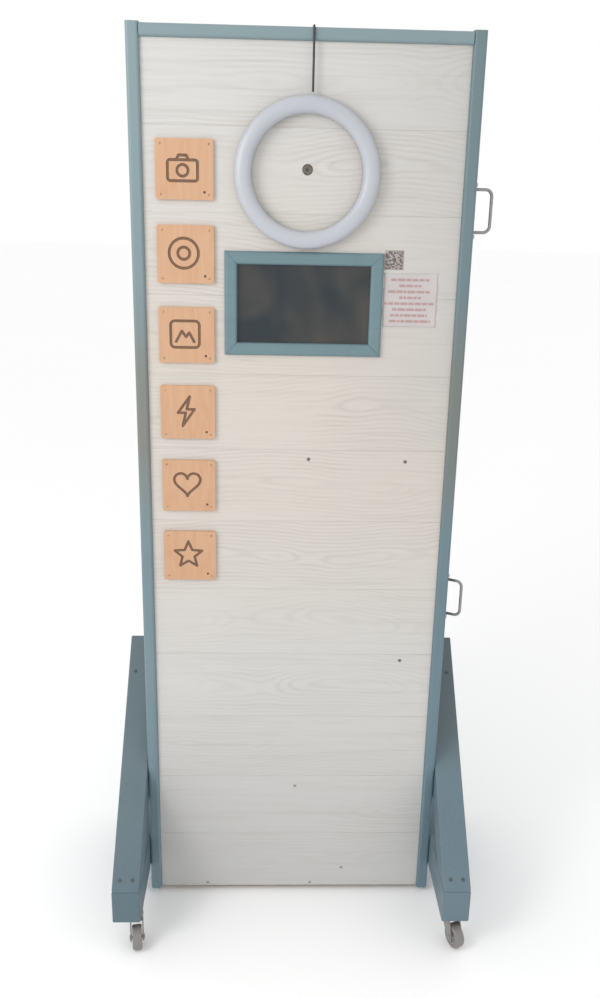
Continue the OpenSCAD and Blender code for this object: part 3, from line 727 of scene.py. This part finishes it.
def arc(cx, cz, r, start, stop, steps):
    """Points along an arc, with its angles in degrees."""
    turns = [math.radians(start + (stop - start) * i / steps) for i in range(steps + 1)]
    return [(cx + r * math.cos(t), cz + r * math.sin(t)) for t in turns]


def ring(cx, cz, r, steps):
    return arc(cx, cz, r, 0, 360, steps)[:-1]


def rounded_box(w, h, r, cx=0.0, cz=0.0):
    outline = []
    for sx, sz, start in ((1, 1, 0), (-1, 1, 90), (-1, -1, 180), (1, -1, 270)):
        outline += arc(cx + sx * (w / 2 - r), cz + sz * (h / 2 - r), r, start, start + 90, 6)
    return outline


def star(outer, inner):
    points = []
    for i in range(10):
        r = inner if i % 2 else outer
        t = math.radians(90 + 36 * i)
        points.append((r * math.cos(t), r * math.sin(t)))
    return points


def heart(size):
    points = []
    for i in range(48):
        t = math.tau * i / 48
        x = 16 * math.sin(t) ** 3
        z = 13 * math.cos(t) - 5 * math.cos(2 * t) - 2 * math.cos(3 * t) - math.cos(4 * t)
        points.append((x * size / 16, (z + 2.5) * size / 16))
    return points


# Strokes of each tile's pictogram in millimetres from its middle: (points, closed)
PICTOGRAMS = [
    [(rounded_box(54, 36, 5, 0, -4), True), (ring(0, -4, 10, 32), True),
     ([(-11, 14), (-7, 22), (7, 22), (11, 14)], False)],
    [(ring(0, 0, 27, 56), True), (ring(0, 0, 11, 32), True)],
    [(rounded_box(54, 50, 8), True), ([(-17, -14), (-6, 6), (2, -5), (8, 3), (17, -14)], False)],
    [([(7, 29), (-16, -3), (-1, -3), (-7, -29), (16, 4), (1, 4)], True)],
    [(heart(26), True)],
    [(star(29, 13), True)],
]


def boolean_cut(piece, cutter):
    """Cuts one piece with another and keeps the cutter's material on the cut faces."""
    modifier = piece.modifiers.new("cut", "BOOLEAN")
    modifier.operation = "DIFFERENCE"
    modifier.solver = "EXACT"
    modifier.use_self = True
    modifier.material_mode = "TRANSFER"
    modifier.object = cutter
    graph = bpy.context.evaluated_depsgraph_get()
    mesh = bpy.data.meshes.new_from_object(piece.evaluated_get(graph))
    piece.modifiers.remove(modifier)
    piece.data = mesh
    bpy.data.objects.remove(cutter)


def chains(points, closed):
    """Splits a stroke at its sharp corners, so that each chain bends gently."""
    count = len(points)
    sharp = []
    for i in range(count):
        if not closed and i in (0, count - 1):
            sharp.append(i)
            continue
        before = Vector(points[i]) - Vector(points[i - 1])
        after = Vector(points[(i + 1) % count]) - Vector(points[i])
        if before.angle(after) > math.radians(28):
            sharp.append(i)
    if not sharp:
        return [points], True
    pairs = zip(sharp, sharp[1:] + ([sharp[0] + count] if closed else []))
    return [[points[k % count] for k in range(a, b + 1)] for a, b in pairs], False


def make_tile(node, strokes):
    """A ply tile whose pictogram is routed with a round cutter, with a burnt groove."""
    a, b = low(node), high(node)
    centre = (a + b) / 2
    bm = bmesh.new()
    outline = rounded_box(b.x - a.x, b.z - a.z, 0.004)
    front, back = [
        [bm.verts.new((centre.x + x, y, centre.z + z)) for x, z in outline] for y in (a.y, b.y)
    ]
    bm.faces.new(front)
    bm.faces.new(back)
    for i in range(len(outline)):
        j = (i + 1) % len(outline)
        bm.faces.new((front[i], front[j], back[j], back[i]))
    soften(bm, 0.0007, 2, 60.0)
    tile = add(f"{node}_plaque", to_mesh(bm, node), "tile", weighted=False)
    cutter_r, groove = 3.25 * MM, 1.4 * MM
    left, up = -3 * MM, 2 * MM
    depth = a.y - cutter_r + groove
    bm = bmesh.new()
    for points, closed in strokes:
        parts, loop = chains(points, closed)
        for part in parts:
            path = [(centre.x + left + x * MM, depth, centre.z + up + z * MM) for x, z in part]
            tube(bm, path, cutter_r, 20, loop)
            ends = () if loop else (path[0], path[-1])
            for end in ends:
                ball(bm, end, cutter_r * 1.004, 22, 14)
    ball(bm, (centre.x + 36 * MM, a.y - 1.2 * MM, centre.z - 39 * MM), 2.8 * MM, 16, 10)
    cutter = add(f"{node}_cutter", to_mesh(bm, f"{node}_cutter"), "burnt", weighted=False)
    boolean_cut(tile, cutter)
    tile.data.set_sharp_from_angle(angle=math.radians(40))
    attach(tile, "root")
    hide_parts(node)


def screw_heads(node, outward, radius, height, finish, turn_seed):
    """Round heads with a cross recess shown as dark bars of painted shade, one on each solid of a node,
    turned at random.
    """
    rng = random.Random(turn_seed)
    bm = bmesh.new()
    recess_shade_marks = bmesh.new()
    aim = Vector(outward).to_track_quat("Z", "Y").to_matrix().to_4x4()
    for point in head_places(node, outward):
        place = Matrix.Translation(point) @ aim @ Matrix.Rotation(rng.uniform(0, 1.5), 4, "Z")
        lathe(bm, [
            (radius, 0), (radius, height * 0.25), (radius * 0.93, height * 0.55),
            (radius * 0.72, height * 0.85), (radius * 0.4, height * 0.97), (0, height)
        ], 28, place)
        # Each cross recess is drawn as two dark bars of painted shade, not cut into the head.
        reach, half = radius * 0.55, radius * 0.11
        for turn in (0, math.pi / 2):
            made = box_mesh(recess_shade_marks, (-reach, -half, height * 0.72), (reach, half, height))
            for v in made:
                v.co = place @ Matrix.Rotation(turn, 4, "Z") @ v.co
    name = node.replace("screws", "screw_heads")
    heads = add(name, to_mesh(bm, name), finish, weighted=False)
    marks = add(f"{name}_recesses", to_mesh(recess_shade_marks, f"{name}_recesses"), "slot", weighted=False)
    for piece in (heads, marks):
        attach(piece, "root")
    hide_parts(node)


def head_places(node, outward):
    """The centre of each separate solid of a node, on the face that it sits on, from the lowest up."""
    bm = bmesh.new()
    bm.from_mesh(NODES[node].data)
    bmesh.ops.remove_doubles(bm, verts=bm.verts, dist=1e-6)
    out = Vector(outward).normalized()
    seen, centres = set(), []
    for start in bm.verts:
        if start in seen:
            continue
        seen.add(start)
        group = [start]
        for v in group:
            fresh = [w for w in (e.other_vert(v) for e in v.link_edges) if w not in seen]
            seen.update(fresh)
            group += fresh
        c = sum((v.co for v in group), Vector()) / len(group)
        base = min(v.co.dot(out) for v in group)
        centres.append(c + out * (base - c.dot(out)))
    bm.free()
    return sorted(centres, key=lambda c: (round(c.z, 4), round(c.x, 4)))


def make_tiles_and_screws():
    for node, strokes in zip(TILES, PICTOGRAMS):
        make_tile(node, strokes)
    front, slope = (0, -1, 0), (0, -1, 1)
    screw_heads("tile_screws", front, 0.0022, 0.0008, "brass", 3)
    screw_heads("cladding_screws", front, 0.0035, 0.0012, "dark_screw", 5)
    screw_heads("leg_screws", slope, 0.0040, 0.0012, "painted_screw", 7)


# ---------- labels ----------

def make_notice(rng):
    """A slightly curled card, printed with rows of plain bars."""
    a, b = low("notice_card"), high("notice_card")
    margin, curl, fray, count = 0.0008, 0.00035, 0.0007, 26
    bm = bmesh.new()
    rows = []
    for j in range(count + 1):
        row = []
        for i in range(count + 1):
            u, v = i / count, j / count
            lift = curl * (0.5 + 0.5 * math.sin(5.1 * u + 3.3 * v + 1.0))
            cut = fray * math.sin(17 * v + 2 * u) if u > 0.985 or u < 0.015 else 0.0
            x = a.x + margin + (b.x - a.x - 2 * margin) * u + cut
            z = a.z + margin + (b.z - a.z - 2 * margin) * v
            row.append(bm.verts.new((x, b.y - lift, z)))
        rows.append(row)
    for lower, upper in zip(rows, rows[1:]):
        for i in range(count):
            bm.faces.new((lower[i], lower[i + 1], upper[i + 1], upper[i]))
    card = add("notice_card_sheet", to_mesh(bm, "notice_card_sheet"), "card", weighted=False)
    thick = card.modifiers.new("thickness", "SOLIDIFY")
    thick.thickness = 0.0002
    thick.offset = 0.0
    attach(card, "root")
    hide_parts("notice_card")
    row_widths = [0.72, 0.42, 0.78, 0.42, 0.92, 0.64, 0.70, 0.78]
    bar_half, bar_gap, jitter = 0.0021, 0.0022, 0.002
    pitch = (b.z - a.z) * 0.108
    top = b.z - (b.z - a.z) * 0.13
    bm = bmesh.new()
    for k, share in enumerate(row_widths):
        full = (b.x - a.x) * share
        x = (a.x + b.x) / 2 - full / 2 + rng.uniform(-jitter, jitter)
        z = top - k * pitch
        stop = x + full
        while x < stop - 0.004:
            step = min(rng.uniform(0.007, 0.017), stop - x)
            box_mesh(
                bm, (x, a.y - 0.00005, z - bar_half), (x + step - bar_gap, a.y + 0.0001, z + bar_half)
            )
            x += step
    bars = add("notice_card_bars", to_mesh(bm, "notice_card_bars"), "print", weighted=False)
    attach(bars, "root")


def make_sticker(rng):
    """A small sticker with a random pattern that codes nothing."""
    a, b = low("code_sticker"), high("code_sticker")
    bm = bmesh.new()
    box_mesh(bm, (a.x, a.y + 0.0001, a.z), (b.x, b.y, b.z))
    soften(bm, 0.0001, 1)
    sheet = add("code_sticker_sheet", to_mesh(bm, "code_sticker_sheet"), "sticker", weighted=False)
    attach(sheet, "root")
    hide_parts("code_sticker")
    count, margin, ink = 13, 0.002, 0.52
    cell = (b.x - a.x - 2 * margin) / count
    bm = bmesh.new()
    for i in range(count):
        for j in range(count):
            if rng.random() < ink:
                x, z = a.x + margin + i * cell, a.z + margin + j * cell
                box_mesh(bm, (x, a.y, z), (x + cell * 0.96, a.y + 0.00015, z + cell * 0.96))
    dots = add("code_sticker_pattern", to_mesh(bm, "code_sticker_pattern"), "sticker_ink", weighted=False)
    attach(dots, "root")


def make_labels():
    rng = random.Random(11)
    make_notice(rng)
    make_sticker(rng)


# ---------- handles ----------

def make_bail(node, eyes, body, swing):
    """A wire bail on upright pins that turn in two eyes; swing is its resting turn forward."""
    wire, pin = 0.003, 0.002
    bend, corner = 0.012, 0.003
    reach, half, pin_end, pin_inset = 0.031, 0.0385, 0.0505, 0.0037
    axis = Vector((high(eyes).x - pin_inset, middle(eyes).y, middle(eyes).z))
    upper = [
        (0, pin_end, pin * 0.8), (0, pin_end - 0.0004, pin * 0.8), (0, pin_end - 0.0010, pin),
        (0, half + corner + 0.0006, pin)
    ]
    upper += [
        (corner - corner * math.cos(t), half + corner - corner * math.sin(t), pin + (wire - pin) * i / 6)
        for i, t in ((i, math.pi / 2 * i / 6) for i in range(7))
    ]
    upper += [
        (reach - bend + bend * math.sin(t), half - bend + bend * math.cos(t), wire)
        for t in (math.pi / 2 * i / 10 for i in range(11))
    ]
    path = upper + [(u, -w, r) for u, w, r in reversed(upper)]
    turn = Matrix.Translation(axis) @ Matrix.Rotation(-math.radians(swing), 4, "Z")
    bm = bmesh.new()
    tube(bm, [turn @ Vector((u, 0, w)) for u, w, _ in path], [r for _, _, r in path], 20)
    bail = add(f"{node}_bail", to_mesh(bm, node), "wire", weighted=False)
    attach(bail, body)
    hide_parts(node)
    refined(eyes, "steel", 0.0003)


# ---------- legs and casters ----------

def make_legs():
    for side in ("left", "right"):
        refined(f"base_rail_{side}", f"leg_{side}", 0.0028, 3)
        refined(f"brace_{side}", f"leg_{side}", 0.0028, 3)
    refined("caster_plates", "caster", 0.0005)
    refined("rear_caster_forks", "caster", 0.0006)
    refined("front_left_fork", "caster", 0.0006, body="front_left_caster")
    refined("front_right_fork", "caster", 0.0006, body="front_right_caster")


def make_wheel(node, body, turn):
    """A grey tyre on a ribbed plastic hub."""
    centre = middle(node)
    radius, half = 0.025, 0.010
    place = Matrix.Translation(centre) @ Matrix.Rotation(math.radians(turn), 4, "Z")
    place = place @ Matrix.Rotation(math.pi / 2, 4, "Y")
    shoulder = [
        (radius - 0.0035 + 0.0035 * math.sin(t), half - 0.0035 + 0.0035 * math.cos(t))
        for t in (math.pi / 2 * i / 6 for i in range(7))
    ]
    tread = shoulder + [(r, -h) for r, h in reversed(shoulder)]
    bm = bmesh.new()
    closed_lathe(bm, [
        (0.0165, half - 0.0012), (0.0172, half - 0.0002), (0.0180, half), *tread,
        (0.0180, -half), (0.0172, -half + 0.0002), (0.0165, -half + 0.0012)
    ], 72, place)
    tyre = add(f"{node}_tyre", to_mesh(bm, node), "tyre", weighted=False)
    bm = bmesh.new()
    closed_lathe(bm, [
        (0.00305, half - 0.0002), (0.0062, half - 0.0002), (0.0068, half - 0.0008), (0.0070, 0.0062),
        (0.0078, 0.0054), (0.0140, 0.0054), (0.0148, 0.0062), (0.0152, half - 0.0014),
        (0.0164, half - 0.0010), (0.0164, -half + 0.0010), (0.0152, -half + 0.0014),
        (0.0148, -0.0062), (0.0140, -0.0054), (0.0078, -0.0054), (0.0070, -0.0062),
        (0.0068, -half + 0.0008), (0.0062, -half + 0.0002), (0.00305, -half + 0.0002)
    ], 72, place)
    ribs, rib_height, rib_half = 6, 0.0072, 0.0016
    for k in range(ribs):
        for side in (-1, 1):
            bottom, top = side * rib_height - rib_half, side * rib_height + rib_half
            made = box_mesh(bm, (0.0066, -0.0008, bottom), (0.0155, 0.0008, top))
            for v in made:
                v.co = place @ Matrix.Rotation(math.tau * k / ribs, 4, "Z") @ v.co
    hub = add(f"{node}_hub", to_mesh(bm, f"{node}_hub"), "hub", weighted=False)
    for piece in (tyre, hub):
        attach(piece, body)
    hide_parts(node)


def make_wheels():
    make_wheel("front_left_wheel", "front_left_roller", 9)
    make_wheel("front_right_wheel", "front_right_roller", 22)
    make_wheel("rear_left_wheel", "rear_left_roller", 0)
    make_wheel("rear_right_wheel", "rear_right_roller", 0)


# ---------- rear door and the inside ----------

def make_door():
    refined("rear_door", "blue_panel", 0.0012, body="door")
    refined("hinge_moving_leaves", "steel", 0.0002, body="door")
    refined("hinge_fixed_leaves", "steel", 0.0002)
    refined("lock_body", "steel", 0.0004, body="door")
    refined("lock_cam", "steel", 0.0004, body="lock")
    refined("lock_keeper", "steel", 0.0003)


def make_inside():
    refined("mini_computer", "black", 0.0030, 3)
    refined("power_adapter", "black", 0.0030, 3)
    refined("power_strip", "strip", 0.0008)
    refined("power_inlet", "black", 0.0005)
    refined("rocker_switch", "rocker", 0.0003, body="rocker")


# ---------- stage and light ----------

def make_stage():
    """A plain pale floor."""
    bm = bmesh.new()
    reach, cells = 30.0, 12
    bmesh.ops.create_grid(bm, x_segments=cells, y_segments=cells, size=reach)
    floor = add("stage_floor", to_mesh(bm, "stage_floor"), "stage", weighted=False)


def area_light(name, place, aim, size, power):
    data = bpy.data.lights.new(name, "AREA")
    data.shape = "RECTANGLE"
    data.size, data.size_y = size
    data.energy = power
    lamp = bpy.data.objects.new(name, data)
    ahead = Vector(aim) - Vector(place)
    turn = ahead.to_track_quat("-Z", "Y").to_matrix().to_4x4()
    lamp.matrix_world = Matrix.Translation(place) @ turn
    bpy.context.scene.collection.objects.link(lamp)


def make_light():
    """An even white room and one soft window at the front left."""
    scene = bpy.context.scene
    scene.view_settings.view_transform = "Standard"
    world = bpy.data.worlds.new("soft_room")
    world.use_nodes = True
    background = world.node_tree.nodes["Background"]
    background.inputs["Color"].default_value = (1.0, 1.0, 1.0, 1.0)
    background.inputs["Strength"].default_value = 1.0
    scene.world = world
    area_light("window", (-1.6, -1.4, 2.0), (-0.1, -0.05, 1.35), (0.9, 1.2), 20)


make_camera()
make_cord()
make_cabinet()
make_screen()
make_ring_light()
make_booth_camera()
make_tiles_and_screws()
make_labels()
make_bail("handle_upper", "handle_eyes_upper", "upper_handle", 0)
make_bail("handle_lower", "handle_eyes_lower", "lower_handle", 28)
make_legs()
make_wheels()
make_door()
make_inside()
make_stage()
make_light()
